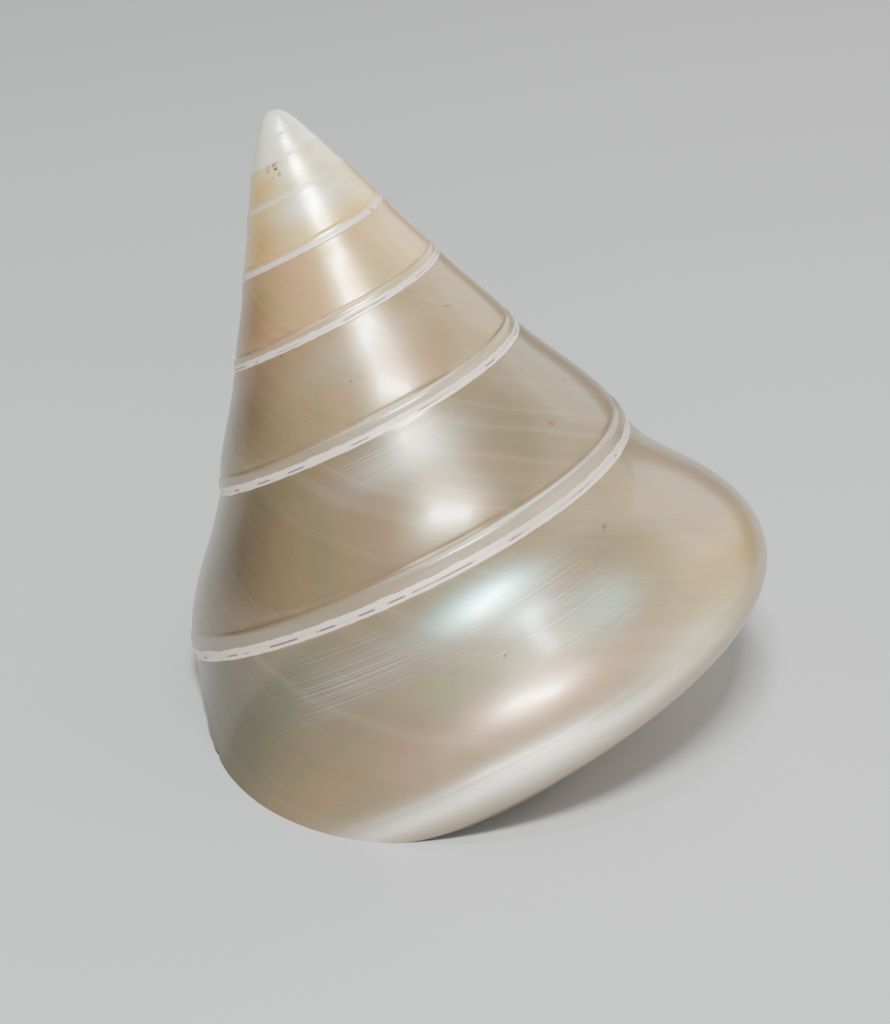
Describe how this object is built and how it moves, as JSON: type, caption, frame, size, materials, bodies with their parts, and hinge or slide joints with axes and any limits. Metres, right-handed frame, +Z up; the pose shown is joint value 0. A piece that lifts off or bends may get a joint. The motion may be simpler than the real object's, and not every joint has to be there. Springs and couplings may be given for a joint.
{
  "type": "top shell",
  "caption": "Polished pearl top shell, a tall cone of coiled whorls with a flared last whorl, lying tipped over on the lip of its mouth",
  "frame": {"origin": "centre of the footprint, on the surface that the shell lies on", "axes": "+Z up, -Y towards the side with the lip and the long view of the whorls, the apex leans to -X and +Y"},
  "size_m": [0.061, 0.0676, 0.0587],
  "materials": {
    "nacre": "polished mother of pearl, iridescent, cream along the sutures"
  },
  "bodies": {
    "root": {"shell": "nacre"}
  },
  "joints": []
}
